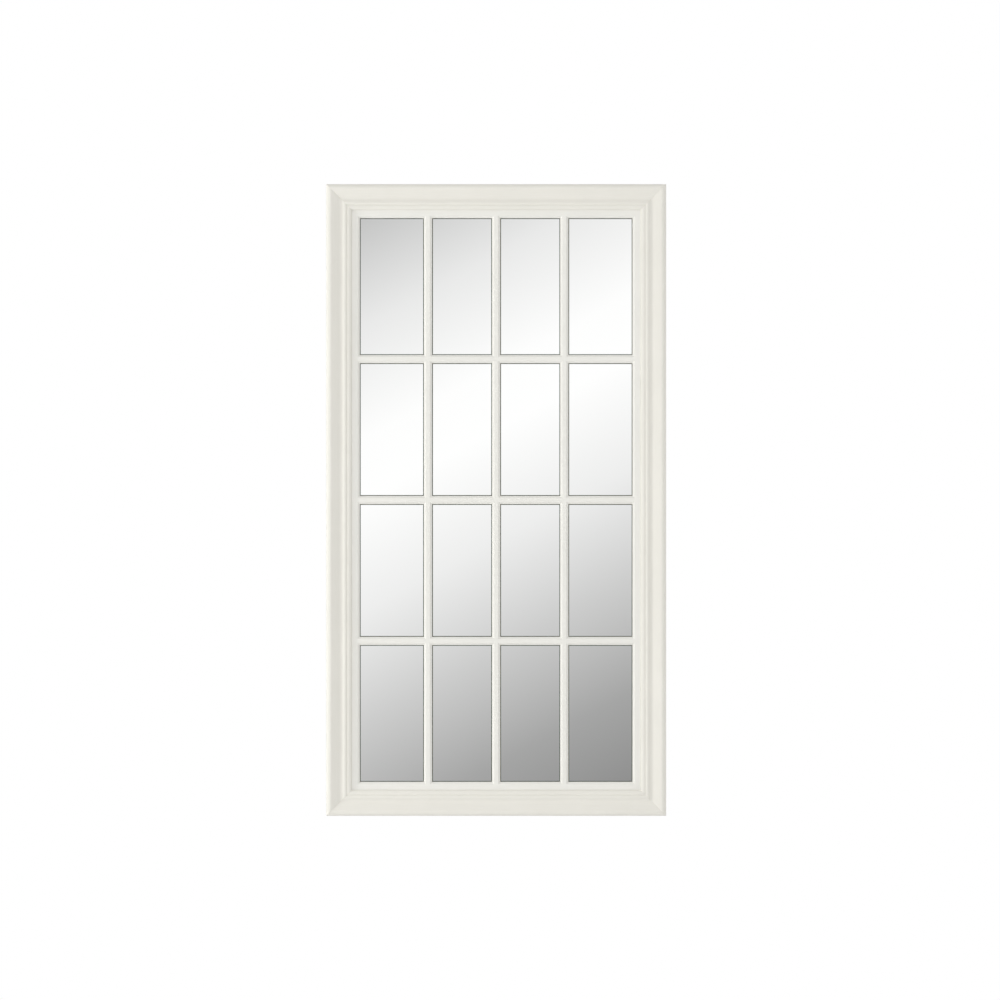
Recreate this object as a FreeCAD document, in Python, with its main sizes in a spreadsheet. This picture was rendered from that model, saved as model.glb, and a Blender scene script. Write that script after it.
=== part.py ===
# Window mirror: a mitred, moulded and painted frame, a lattice of bevelled glazing bars on a back board,
# and a grid of separate mirror panes, hung by two D-rings.
# +Z is up, the mirror faces -Y, and the origin is on the wall behind the middle of the frame.
import FreeCAD, Part
import math
import os
from types import SimpleNamespace

import Sketcher

COLUMNS = 4
ROWS = 4

# Driving dimensions in millimetres: name, value, what it measures
SIZES = (
    ("frame_width", "700", "frame, across its outer edges"),
    ("frame_height", "1300", "frame, from its bottom edge to its top edge"),
    ("frame_depth", "28", "frame, from its back to the crest of the moulding"),
    ("moulding_width", "53", "frame member, from its outer to its inner edge"),
    ("edge_round", "9", "radius of the rounded outer edge"),
    ("scoop_radius", "10", "radius of the scoop between edge and bead"),
    ("bead_radius", "7.5", "radius of the bead"),
    ("ovolo_radius", "8.2", "radius of the quarter round that falls to the lattice"),
    ("lip_height", "18.2", "inner edge of the moulding, above the frame's back"),
    ("rebate_width", "15", "rebate for the board, in from the inner edge"),
    ("board_recess", "2", "board's back, below the frame's back"),
    ("board_thickness", "5", "back board"),
    ("board_clearance", "1", "room around the board in its rebate"),
    ("strip_width", "16", "border strip of the lattice"),
    ("bar_width", "17", "glazing bar"),
    ("lattice_thickness", "10", "border strips and glazing bars"),
    ("bevel_width", "4.5", "bevel along strips and bars, seen from the front"),
    ("bevel_height", "3.5", "bevel along strips and bars, front to back"),
    ("pane_thickness", "4", "mirror glass"),
    ("pane_gap", "0.9", "shadow gap around each pane"),
    ("pane_arris", "0.7", "ground arris around the front of each pane"),
    ("tape_thickness", "1", "foam tape behind the panes"),
    ("tape_width", "20", "foam tape"),
    ("tape_margin", "12", "foam tape, in from the edges of its pane"),
    ("nail_leg", "9", "leg of a V-nail"),
    ("nail_strip", "0.8", "steel of a V-nail"),
    ("nail_height", "10", "V-nail, along the way it is driven"),
    ("nail_inset", "14", "first V-nail, in from the outer edges"),
    ("nail_spacing", "13", "from the first to the second V-nail"),
    ("board_screw_diameter", "3.5", "shank of a board screw"),
    ("board_screw_head", "7", "head diameter of a board screw"),
    ("board_screw_rise", "1.8", "head height of a board screw"),
    ("board_screw_length", "14", "board screw under its head"),
    ("hanger_screw_diameter", "4", "shank of a hanger screw"),
    ("hanger_screw_head", "7.4", "head diameter of a hanger screw"),
    ("hanger_screw_rise", "2.2", "head height of a hanger screw"),
    ("hanger_screw_length", "18", "hanger screw under its head"),
    ("screw_fit", "0.05", "room around a shank in its hole"),
    ("head_bevel", "0.8", "bevel around the heads and the ends of the screws"),
    ("hanger_drop", "250", "ring pivot, below the top edge"),
    ("hanger_inset", "19", "middle of the hanger, in from the outer edge"),
    ("strap_width", "15", "hanger strap"),
    ("strap_gauge", "1", "steel of the hanger strap"),
    ("strap_neck", "7", "pivot to where the two layers of the strap meet"),
    ("strap_tail", "50", "pivot to the end of the strap"),
    ("strap_corner", "5", "corner radius at the end of the strap"),
    ("first_hole", "27", "pivot to the upper screw"),
    ("hole_spacing", "15", "upper to lower screw of a hanger"),
    ("ring_wire", "3", "wire of the D-ring"),
    ("ring_clearance", "0.05", "room around the wire in the folded strap"),
    ("ring_span", "24", "D-ring, between the middles of its sides"),
    ("ring_reach", "18.5", "pivot to the middle of the D-ring's bow"),
    ("ring_corner", "4", "bend at the ends of the D-ring's straight leg"),
    ("ring_stand_off", "0.3", "hanging bow, clear of the strap"),
    ("bumper_diameter", "14", "wall bumper"),
    ("bumper_height", "6", "wall bumper, and so the frame's stand-off from the wall"),
    ("bumper_bevel", "1.2", "bevel around the bumper"),
    ("bumper_inset", "60", "bumper, in from the side edge"),
    ("bumper_rise", "19", "bumper, up from the bottom edge"),
    ("overrun", "5", "how far a cut runs past what it cuts"),
)

# Slopes of the moulding against the wall plane: band, both flanks of the bead, both flanks of the quarter round
BAND_ANGLE = math.radians(22)
BEAD_ANGLE = math.radians(30)
OVOLO_RISE_ANGLE = math.radians(25)
OVOLO_FALL_ANGLE = math.radians(60)

# Depth of the lattice's half laps, as a share of its thickness
LAP_SHARE = 0.5

# Board screws along each member, as shares of its length from its middle
RAIL_SCREW_SHARES = (-0.25, 0.25)
STILE_SCREW_SHARES = (-0.42, -0.14, 0.14, 0.42)

# Flats around the small round sections, which keep the facets few
WIRE_FLAT_COUNT = 8
SCREW_FLAT_COUNT = 8

os.makedirs("parts", exist_ok=True)
doc = FreeCAD.newDocument("window_mirror")
sheet = doc.addObject("Spreadsheet::Sheet", "sizes")
for row, (alias, value, note) in enumerate(SIZES, start=1):
    sheet.set(f"A{row}", note)
    sheet.set(f"B{row}", value)
    sheet.setAlias(f"B{row}", alias)
doc.recompute()


class Length:
    """A sum of named sizes, each times a share, with its present value and its expression."""

    def __init__(self, shares):
        self.shares = {name: share for name, share in shares.items() if share}

    def __add__(self, other):
        names = {**self.shares, **other.shares}
        return Length({name: self.shares.get(name, 0) + other.shares.get(name, 0) for name in names})

    def __mul__(self, share):
        return Length({name: part * share for name, part in self.shares.items()})

    def __neg__(self):
        return self * -1

    def __sub__(self, other):
        return self + -other

    def __truediv__(self, count):
        return self * (1 / count)

    @property
    def value(self):
        return sum(share * float(sheet.get(name)) for name, share in self.shares.items())

    @property
    def text(self):
        return " + ".join(f"({share!r}) * sizes.{name}" for name, share in self.shares.items()) or "0"


size = SimpleNamespace(**{alias: Length({alias: 1}) for alias, value, note in SIZES})
ZERO = Length({})

cuts = []
sub_parts = []


def new_body(label):
    """A body that is written out under its label."""
    body = doc.addObject("PartDesign::Body", label)
    body.Label = label
    sub_parts.append(body)
    return body


def place(item, across, back, up, turn=0, axis=(0, 1, 0)):
    """Turns an object about an axis through its origin, then moves it there."""
    item.Placement = FreeCAD.Placement(FreeCAD.Vector(), FreeCAD.Rotation(FreeCAD.Vector(*axis), turn))
    for letter, length in zip("xyz", (across, back, up)):
        item.setExpression(f"Placement.Base.{letter}", length.text)


def new_sketch(body, role):
    """An empty sketch on one of the body's own origin planes."""
    plane = next(item for item in body.Origin.OriginFeatures if item.Role == role)
    sketch = body.newObject("Sketcher::SketchObject", "sketch")
    sketch.AttachmentSupport = (plane, "")
    sketch.MapMode = "FlatFace"
    return sketch


def constrain(sketch, constraints, lengths):
    """Adds the constraints, and binds those that measure something to the sheet."""
    numbers = sketch.addConstraint(constraints)
    for number, length in zip(numbers, lengths):
        if length is not None:
            sketch.setExpression(f"Constraints[{number}]", length.text)


def arc_between(start, end, radius, turn):
    """The arc of less than half a circle from start to end, bending left (1) or right (-1)."""
    chord = end - start
    left = FreeCAD.Vector(-chord.y, chord.x, 0).normalize()
    inward = math.sqrt(radius ** 2 - (chord.Length / 2) ** 2)
    centre = (start + end) * 0.5 + left * (turn * inward)
    crown = centre - left * (turn * radius)
    return Part.Arc(start, crown, end) if turn > 0 else Part.Arc(end, crown, start)


def draw_outline(sketch, corners):
    """A closed outline through corners (across, up) or (across, up, radius, turn).

    A radius and turn make the stretch that leaves the corner an arc, bending left (1) or right (-1).
    """
    first = sketch.GeometryCount
    count = len(corners)
    points = [FreeCAD.Vector(corner[0].value, corner[1].value, 0) for corner in corners]
    ends = []
    for number, (across, up, *bend) in enumerate(corners):
        start = points[number]
        end = points[(number + 1) % count]
        if bend:
            radius, turn = bend
            sketch.addGeometry(arc_between(start, end, radius.value, turn))
        else:
            sketch.addGeometry(Part.LineSegment(start, end))
        ends.append((2, 1) if bend and bend[1] < 0 else (1, 2))
    constraints = []
    lengths = []
    for number, (across, up, *bend) in enumerate(corners):
        here = (first + number, ends[number][0])
        before = (first + (number - 1) % count, ends[number - 1][1])
        constraints.append(Sketcher.Constraint("Coincident", *before, *here))
        constraints.append(Sketcher.Constraint("DistanceX", -1, 1, *here, across.value))
        constraints.append(Sketcher.Constraint("DistanceY", -1, 1, *here, up.value))
        lengths += [None, across, up]
        if bend:
            constraints.append(Sketcher.Constraint("Radius", here[0], bend[0].value))
            lengths.append(bend[0])
    constrain(sketch, constraints, lengths)


def draw_circle(sketch, across, up, radius):
    """A circle at a place of the sketch."""
    number = sketch.GeometryCount
    centre = FreeCAD.Vector(across.value, up.value, 0)
    sketch.addGeometry(Part.Circle(centre, FreeCAD.Vector(0, 0, 1), radius.value))
    constraints = [
        Sketcher.Constraint("DistanceX", -1, 1, number, 3, across.value),
        Sketcher.Constraint("DistanceY", -1, 1, number, 3, up.value),
        Sketcher.Constraint("Radius", number, radius.value),
    ]
    constrain(sketch, constraints, [across, up, radius])


def draw_flats(sketch, radius, flats):
    """A round section about the sketch's origin, drawn as an outline of equal flats."""
    corners = []
    for number in range(flats):
        angle = math.tau * number / flats
        corners.append((radius * math.cos(angle), radius * math.sin(angle)))
    draw_outline(sketch, corners)


def pad(body, sketch, length, side="Symmetric", reverse=False):
    """Extrudes a sketch, to both sides of its plane, along its normal or against it."""
    feature = body.newObject("PartDesign::Pad", "pad")
    feature.Profile = sketch
    feature.SideType = side
    feature.Reversed = reverse
    feature.setExpression("Length", length.text)
    return feature


def cut_through(body, sketch):
    """Cuts a sketch right through the body, to both sides of its plane."""
    feature = body.newObject("PartDesign::Pocket", "through_cut")
    feature.Profile = sketch
    feature.SideType = "Symmetric"
    feature.Type = "ThroughAll"
    cuts.append(feature)
    return feature


def cut_from_back(body, sketch, depth):
    """Cuts a sketch on the frame's back plane to a depth, towards the front."""
    feature = body.newObject("PartDesign::Pocket", "blind_cut")
    feature.Profile = sketch
    feature.Reversed = True
    feature.setExpression("Length", depth.text)
    cuts.append(feature)


def revolve(body, sketch):
    """Turns a half section about the sketch's upright axis."""
    feature = body.newObject("PartDesign::Revolution", "turned")
    feature.Profile = sketch
    feature.ReferenceAxis = (sketch, ["V_Axis"])
    feature.Angle = 360


def placed_copies(label, master, places):
    """One node of separate solids: the master's solid at each placement."""
    doc.recompute()
    group = doc.addObject("Part::Feature", label)
    group.Label = label
    group.Shape = Part.makeCompound([master.Shape.transformed(spot.toMatrix()) for spot in places])
    sub_parts.append(group)


# Shared places, measured across from the middle and towards the front from the frame's back
half_width = size.frame_width / 2
half_height = size.frame_height / 2
stand_off = -size.bumper_height
rebate_edge = size.moulding_width - size.rebate_width
board_front = size.board_recess + size.board_thickness
lattice_front = board_front + size.lattice_thickness
bevel_foot = lattice_front - size.bevel_height
lap_level = board_front + size.lattice_thickness * LAP_SHARE
sight_edge = size.moulding_width + size.strip_width
half_opening_width = half_width - sight_edge
half_opening_height = half_height - sight_edge
screw_line = size.moulding_width - size.rebate_width / 2
half_bar = size.bar_width / 2
half_flat = half_bar - size.bevel_width
pivot_level = size.ring_wire / 2 + size.ring_clearance + size.strap_gauge


# Frame members and border strips: a section carried along the member and mitred at both ends
def moulding_section():
    """The frame's section, as corners (towards the front, out from the outer edge)."""
    sin_band = math.sin(BAND_ANGLE)
    cos_band = math.cos(BAND_ANGLE)
    sin_bead = math.sin(BEAD_ANGLE)
    cos_bead = math.cos(BEAD_ANGLE)
    ovolo_width = size.ovolo_radius * (math.sin(OVOLO_RISE_ANGLE) + math.sin(OVOLO_FALL_ANGLE))
    ovolo_fall = size.ovolo_radius * (math.cos(OVOLO_RISE_ANGLE) - math.cos(OVOLO_FALL_ANGLE))
    ovolo_start = size.moulding_width - ovolo_width
    ovolo_level = size.lip_height + ovolo_fall
    bead_start = ovolo_start - size.bead_radius * (2 * sin_bead)
    scoop_start = bead_start - size.scoop_radius * (sin_band + sin_bead)
    round_end = size.edge_round * (1 + sin_band)
    round_level = size.frame_depth - size.edge_round * (1 - cos_band)
    scoop_level = round_level - (scoop_start - round_end) * math.tan(BAND_ANGLE)
    bead_level = scoop_level + size.scoop_radius * (cos_band - cos_bead)
    return [
        (ZERO, ZERO),
        (size.edge_round - size.frame_depth, ZERO, size.edge_round, 1),
        (-round_level, -round_end),
        (-scoop_level, -scoop_start, size.scoop_radius, -1),
        (-bead_level, -bead_start, size.bead_radius, 1),
        (-bead_level, -ovolo_start),
        (-ovolo_level, -ovolo_start, size.ovolo_radius, 1),
        (-size.lip_height, -size.moulding_width),
        (-board_front, -size.moulding_width),
        (-board_front, -rebate_edge),
        (ZERO, -rebate_edge),
    ]


def strip_section():
    """The border strip's section, bevelled at its glass edge."""
    return [
        (-board_front, -size.moulding_width),
        (-lattice_front, -size.moulding_width),
        (-lattice_front, size.bevel_width - sight_edge),
        (-bevel_foot, -sight_edge),
        (-board_front, -sight_edge),
    ]


def mitred_member(label, section, outer_length, pad_length, inner_edge, spot, turn):
    """A member along local X whose frame edge is at local Z zero, cut to 45 degrees at both ends."""
    body = new_body(label)
    profile = new_sketch(body, "YZ_Plane")
    draw_outline(profile, section)
    pad(body, profile, pad_length)
    mitres = new_sketch(body, "XZ_Plane")
    reach = inner_edge + size.overrun
    for side in (-1, 1):
        corner = outer_length * (side / 2)
        past = corner + size.overrun * side
        draw_outline(mitres, [(past, size.overrun), (past, -reach), (corner - reach * side, -reach)])
    cut_through(body, mitres)
    place(body, spot[0], stand_off, spot[1], turn)
    return body


def nail_outline(across, up, side):
    """The bent V-nail seen from behind: its bend on the mitre, its legs towards the outer edges."""
    half = size.nail_strip / 2
    near = across - half * side
    far = across + half * side
    tip = across + size.nail_leg * side
    top = up + size.nail_leg
    return [(near, up - half), (tip, up - half), (tip, up + half), (far, up + half), (far, top), (near, top)]


nail_insets = (size.nail_inset, size.nail_inset + size.nail_spacing)


def slot_for_nails(body, outer_length):
    """Slots at both mitres that the V-nails are driven into."""
    slots = new_sketch(body, "XZ_Plane")
    for side in (-1, 1):
        for inset in nail_insets:
            draw_outline(slots, nail_outline((outer_length / 2 - inset) * side, -inset, side))
    cut_from_back(body, slots, size.nail_height)


def drill_for_board_screws(body, length, shares):
    """Pilot holes along the shoulder that the board is screwed to."""
    holes = new_sketch(body, "XZ_Plane")
    for share in shares:
        radius = size.board_screw_diameter / 2 + size.screw_fit
        draw_circle(holes, length * share, -screw_line, radius)
    cut_from_back(body, holes, size.board_recess + size.board_screw_length + size.screw_fit)


hanger_holes = (size.first_hole, size.first_hole + size.hole_spacing)
pivot_height = half_height - size.hanger_drop


def drill_for_hanger(body, side):
    """Pilot holes in a stile's back; side says which way the stile's length runs."""
    holes = new_sketch(body, "XZ_Plane")
    for hole in hanger_holes:
        radius = size.hanger_screw_diameter / 2 + size.screw_fit
        draw_circle(holes, (pivot_height - hole) * side, -size.hanger_inset, radius)
    cut_from_back(body, holes, size.hanger_screw_length - size.strap_gauge * 2 + size.screw_fit)


members = (
    ("top", "rail", size.frame_width, (ZERO, half_height), 0, RAIL_SCREW_SHARES),
    ("bottom", "rail", size.frame_width, (ZERO, -half_height), 180, RAIL_SCREW_SHARES),
    ("left", "stile", size.frame_height, (-half_width, ZERO), -90, STILE_SCREW_SHARES),
    ("right", "stile", size.frame_height, (half_width, ZERO), 90, STILE_SCREW_SHARES),
)
for name, kind, length, spot, turn, shares in members:
    member = mitred_member(f"{name}_{kind}", moulding_section(), length, length, size.moulding_width, spot, turn)
    slot_for_nails(member, length)
    drill_for_board_screws(member, length, shares)
    if kind == "stile":
        drill_for_hanger(member, 1 if name == "left" else -1)
    strip_length = length - size.moulding_width * 2
    mitred_member(f"{name}_border", strip_section(), length, strip_length, sight_edge, spot, turn)


# V-nails: bent steel strips driven flush into the back of each mitre
nail = doc.addObject("PartDesign::Body", "nail")
nail_sketch = new_sketch(nail, "XZ_Plane")
draw_outline(nail_sketch, nail_outline(ZERO, ZERO, 1))
pad(nail, nail_sketch, size.nail_height, "One side")
nail_places = []
for side_across, side_up, turn in ((1, 1, 0), (1, -1, 90), (-1, -1, 180), (-1, 1, 270)):
    for inset in nail_insets:
        across = (half_width - inset).value * side_across
        up = (half_height - inset).value * side_up
        turned = FreeCAD.Rotation(FreeCAD.Vector(0, 1, 0), turn)
        nail_places.append(FreeCAD.Placement(FreeCAD.Vector(across, stand_off.value, up), turned))
placed_copies("corner_nails", nail, nail_places)


# Glazing bars: uprights run through in front, cross bars behind, half lapped and scribed to the bevels
def bar_section(middle, swap):
    """A bar's section about its middle line; swap turns (across, front) into (front, across)."""
    corners = [
        (middle - half_bar, -board_front),
        (middle + half_bar, -board_front),
        (middle + half_bar, -bevel_foot),
        (middle + half_flat, -lattice_front),
        (middle - half_flat, -lattice_front),
        (middle - half_bar, -bevel_foot),
    ]
    return [(front, across) for across, front in corners] if swap else corners


def scribed_end(half_opening, side):
    """What is cut off a bar's end so that it sits over the border strip's bevel."""
    edge = half_opening * side
    tip = (half_opening + size.bevel_width) * side
    past = tip + size.overrun * side
    return [
        (edge, size.overrun - board_front),
        (edge, -bevel_foot),
        (tip, -lattice_front),
        (past, -lattice_front),
        (past, size.overrun - board_front),
    ]


column_pitch = half_opening_width * (2 / COLUMNS)
row_pitch = half_opening_height * (2 / ROWS)
column_lines = [column_pitch * (number - COLUMNS / 2) for number in range(1, COLUMNS)]
row_lines = [row_pitch * (ROWS / 2 - number) for number in range(1, ROWS)]

for number, line in enumerate(column_lines, start=1):
    upright = new_body(f"upright_bar_{number}")
    profile = new_sketch(upright, "XY_Plane")
    draw_outline(profile, bar_section(line, swap=False))
    pad(upright, profile, (half_opening_height + size.bevel_width) * 2)
    joints = new_sketch(upright, "YZ_Plane")
    for side in (-1, 1):
        draw_outline(joints, [(front, up) for up, front in scribed_end(half_opening_height, side)])
    for crossing in row_lines:
        low = crossing - half_bar
        high = crossing + half_bar
        behind = size.overrun - board_front
        draw_outline(joints, [(behind, low), (behind, high), (-lap_level, high), (-lap_level, low)])
    cut_through(upright, joints)
    place(upright, ZERO, stand_off, ZERO)

for number, line in enumerate(row_lines, start=1):
    cross = new_body(f"cross_bar_{number}")
    profile = new_sketch(cross, "YZ_Plane")
    draw_outline(profile, bar_section(line, swap=True))
    pad(cross, profile, (half_opening_width + size.bevel_width) * 2)
    joints = new_sketch(cross, "XY_Plane")
    for side in (-1, 1):
        draw_outline(joints, scribed_end(half_opening_width, side))
    for crossing in column_lines:
        ahead = -lattice_front - size.overrun
        draw_outline(joints, [
            (crossing - half_bar, -lap_level),
            (crossing - half_bar, -bevel_foot),
            (crossing - half_flat, -lattice_front),
            (crossing - half_flat, ahead),
            (crossing + half_flat, ahead),
            (crossing + half_flat, -lattice_front),
            (crossing + half_bar, -bevel_foot),
            (crossing + half_bar, -lap_level),
        ])
    cut_through(cross, joints)
    place(cross, ZERO, stand_off, ZERO)


# Back board: a sheet in the rebate, with clearance holes for its screws
board_half_width = half_width - rebate_edge - size.board_clearance
board_half_height = half_height - rebate_edge - size.board_clearance
board_spots = []
for name, kind, length, spot, turn, shares in members:
    for share in shares:
        if kind == "rail":
            board_spots.append((length * share, spot[1] + screw_line * (-1 if name == "top" else 1)))
        else:
            board_spots.append((spot[0] + screw_line * (-1 if name == "right" else 1), length * share))
board = new_body("back_board")
sheet_outline = new_sketch(board, "XZ_Plane")
draw_outline(sheet_outline, [
    (-board_half_width, -board_half_height),
    (board_half_width, -board_half_height),
    (board_half_width, board_half_height),
    (-board_half_width, board_half_height),
])
for across, up in board_spots:
    draw_circle(sheet_outline, across, up, size.board_screw_diameter / 2 + size.screw_fit)
pad(board, sheet_outline, size.board_thickness, "One side")
place(board, ZERO, stand_off - size.board_recess, ZERO)


# Mirror panes: glass sheets with a ground arris, each in its own opening of the lattice
def pane_span(number, count, pitch, half_opening):
    """Low and high edge of a pane along one direction, clear of bars and border strips."""
    low = pitch * number - half_opening + size.pane_gap
    high = pitch * (number + 1) - half_opening - size.pane_gap
    if number > 0:
        low = low + half_bar
    if number < count - 1:
        high = high - half_bar
    return low, high


pane_back = board_front + size.tape_thickness
panes = []
for row in range(ROWS):
    for column in range(COLUMNS):
        left, right = pane_span(column, COLUMNS, column_pitch, half_opening_width)
        low, high = pane_span(ROWS - 1 - row, ROWS, row_pitch, half_opening_height)
        pane = new_body(f"pane_row{row + 1}_column{column + 1}")
        face = new_sketch(pane, "XZ_Plane")
        draw_outline(face, [(left, low), (right, low), (right, high), (left, high)])
        glass = pad(pane, face, size.pane_thickness, "One side")
        place(pane, ZERO, stand_off - pane_back, ZERO)
        panes.append((pane, glass, left, right, low, high))
doc.recompute()
for pane, glass, left, right, low, high in panes:
    faces = glass.Shape.Faces
    front = min(range(len(faces)), key=lambda number: faces[number].CenterOfMass.y)
    arris = pane.newObject("PartDesign::Chamfer", "arris")
    arris.Base = (glass, [f"Face{front + 1}"])
    arris.setExpression("Size", size.pane_arris.text)


# Foam tape: two strips behind each pane, near its top and bottom
strips = []
for pane, glass, left, right, low, high in panes:
    for bottom in (low + size.tape_margin, high - size.tape_margin - size.tape_width):
        strip = doc.addObject("Part::Box", "tape_strip")
        strip.setExpression("Length", (right - left - size.tape_margin * 2).text)
        strip.setExpression("Width", size.tape_thickness.text)
        strip.setExpression("Height", size.tape_width.text)
        place(strip, left + size.tape_margin, stand_off - pane_back, bottom)
        strips.append(strip)
tape = doc.addObject("Part::Compound", "mirror_tape")
tape.Label = "mirror_tape"
tape.Links = strips
sub_parts.append(tape)


# Screws: a pan head and a shank, both bevelled at the end, driven from behind
def screw_master(name, diameter, head, rise, length):
    """A screw along local Z, its head on top of the plane that it clamps."""
    body = doc.addObject("PartDesign::Body", name)
    head_outline = new_sketch(body, "XY_Plane")
    draw_flats(head_outline, head / 2, SCREW_FLAT_COUNT)
    pad(body, head_outline, rise, "One side")
    shank_outline = new_sketch(body, "XY_Plane")
    draw_flats(shank_outline, diameter / 2, SCREW_FLAT_COUNT)
    blank = pad(body, shank_outline, length, "One side", reverse=True)
    doc.recompute()
    ends = []
    for number, face in enumerate(blank.Shape.Faces, start=1):
        if math.isclose(face.CenterOfMass.z, rise.value) or math.isclose(face.CenterOfMass.z, -length.value):
            ends.append(f"Face{number}")
    bevel = body.newObject("PartDesign::Chamfer", "end_bevels")
    bevel.Base = (blank, ends)
    bevel.setExpression("Size", size.head_bevel.text)
    return body


def driven_at(across, back, up):
    """The placement of a screw or bumper whose axis points at the wall."""
    spot = FreeCAD.Vector(across.value, back.value, up.value)
    return FreeCAD.Placement(spot, FreeCAD.Rotation(FreeCAD.Vector(1, 0, 0), -90))


board_screw = screw_master(
    "board_screw",
    size.board_screw_diameter,
    size.board_screw_head,
    size.board_screw_rise,
    size.board_screw_length,
)
board_back = stand_off - size.board_recess
placed_copies("board_screws", board_screw, [driven_at(across, board_back, up) for across, up in board_spots])

hanger_screw = screw_master(
    "hanger_screw",
    size.hanger_screw_diameter,
    size.hanger_screw_head,
    size.hanger_screw_rise,
    size.hanger_screw_length,
)
strap_back = stand_off + size.strap_gauge * 2
hanger_lines = {"left": size.hanger_inset - half_width, "right": half_width - size.hanger_inset}
hanger_spots = []
for line in hanger_lines.values():
    for hole in hanger_holes:
        hanger_spots.append(driven_at(line, strap_back, pivot_height - hole))
placed_copies("hanger_screws", hanger_screw, hanger_spots)


# Strap hangers: a steel strip folded round the ring's wire, both layers screwed to the stile
def strap_hanger(label, line):
    """A strap along local Z with its pivot at the local origin's height."""
    body = new_body(label)
    fold = new_sketch(body, "YZ_Plane")
    double = size.strap_gauge * 2
    draw_outline(fold, [
        (ZERO, ZERO, pivot_level, -1),
        (pivot_level, pivot_level, pivot_level, -1),
        (pivot_level * 2, ZERO),
        (double, -size.strap_neck),
        (double, -size.strap_tail),
        (ZERO, -size.strap_tail),
    ])
    draw_circle(fold, pivot_level, ZERO, size.ring_wire / 2 + size.ring_clearance)
    pad(body, fold, size.strap_width)
    holes = new_sketch(body, "XZ_Plane")
    for hole in hanger_holes:
        draw_circle(holes, ZERO, -hole, size.hanger_screw_diameter / 2 + size.screw_fit)
    drilled = cut_through(body, holes)
    doc.recompute()
    tail = -size.strap_tail.value
    tail_edges = []
    for number, edge in enumerate(drilled.Shape.Edges, start=1):
        start, end = edge.firstVertex().Point, edge.lastVertex().Point
        if math.isclose(start.z, tail) and math.isclose(end.z, tail) and math.isclose(start.x, end.x):
            tail_edges.append(f"Edge{number}")
    corners = body.newObject("PartDesign::Fillet", "tail_corners")
    corners.Base = (drilled, tail_edges)
    corners.setExpression("Radius", size.strap_corner.text)
    place(body, line, stand_off, pivot_height)


# D-rings: wire bent to a straight leg, two sides and a bow, hanging on the strap and leaning on it
def d_ring(label, line):
    """A ring whose leg is along local X at the local origin, with its bow hanging below."""
    body = new_body(label)
    path = new_sketch(body, "XZ_Plane")
    half_span = size.ring_span / 2
    bow = half_span - size.ring_reach
    draw_outline(path, [
        (size.ring_corner - half_span, ZERO, size.ring_corner, 1),
        (-half_span, -size.ring_corner),
        (-half_span, bow, half_span, 1),
        (ZERO, -size.ring_reach, half_span, 1),
        (half_span, bow),
        (half_span, -size.ring_corner, size.ring_corner, 1),
        (half_span - size.ring_corner, ZERO),
    ])
    wire = new_sketch(body, "YZ_Plane")
    draw_flats(wire, size.ring_wire / 2, WIRE_FLAT_COUNT)
    ring = body.newObject("PartDesign::AdditivePipe", "ring")
    ring.Profile = wire
    ring.Spine = (path, [f"Edge{number}" for number in range(1, path.GeometryCount + 1)])
    place(body, line, stand_off + pivot_level, pivot_height, turn=1, axis=(1, 0, 0))
    rest_level = size.strap_gauge * 2 + size.ring_stand_off + size.ring_wire / 2
    lean = rest_level - pivot_level
    body.setExpression("Placement.Rotation.Angle", f"asin(({lean.text}) / ({size.ring_reach.text}))")


for side, line in hanger_lines.items():
    strap_hanger(f"{side}_hanger", line)
    d_ring(f"{side}_ring", line)


# Wall bumpers: turned rubber pads stuck to the bottom rail's back
bumper = doc.addObject("PartDesign::Body", "bumper")
bumper_profile = new_sketch(bumper, "XZ_Plane")
draw_outline(bumper_profile, [
    (ZERO, ZERO),
    (size.bumper_diameter / 2, ZERO),
    (size.bumper_diameter / 2, size.bumper_height - size.bumper_bevel),
    (size.bumper_diameter / 2 - size.bumper_bevel, size.bumper_height),
    (ZERO, size.bumper_height),
])
revolve(bumper, bumper_profile)
bumper_up = size.bumper_rise - half_height
bumper_line = half_width - size.bumper_inset
bumper_spots = [driven_at(bumper_line * side, stand_off, bumper_up) for side in (-1, 1)]
placed_copies("wall_bumpers", bumper, bumper_spots)


# Everything is checked before any sub-part is written
doc.recompute()
for item in doc.Objects:
    if "Invalid" in item.State or "Error" in item.State:
        raise RuntimeError(f"{item.Label} failed: {item.State}")
for feature in cuts:
    if feature.Shape.Volume >= feature.BaseFeature.Shape.Volume:
        raise RuntimeError(f"{feature.getParentGeoFeatureGroup().Label}: {feature.Label} removes nothing")
for item in sub_parts:
    if item.Shape.isNull() or not item.Shape.isValid() or not item.Shape.Solids:
        raise RuntimeError(f"{item.Label} has no valid solid")
for item in sub_parts:
    item.Shape.exportStep(os.path.join("parts", f"{item.Label}.step"))
print(f"{len(sub_parts)} sub-parts written")
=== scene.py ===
import math

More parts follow.
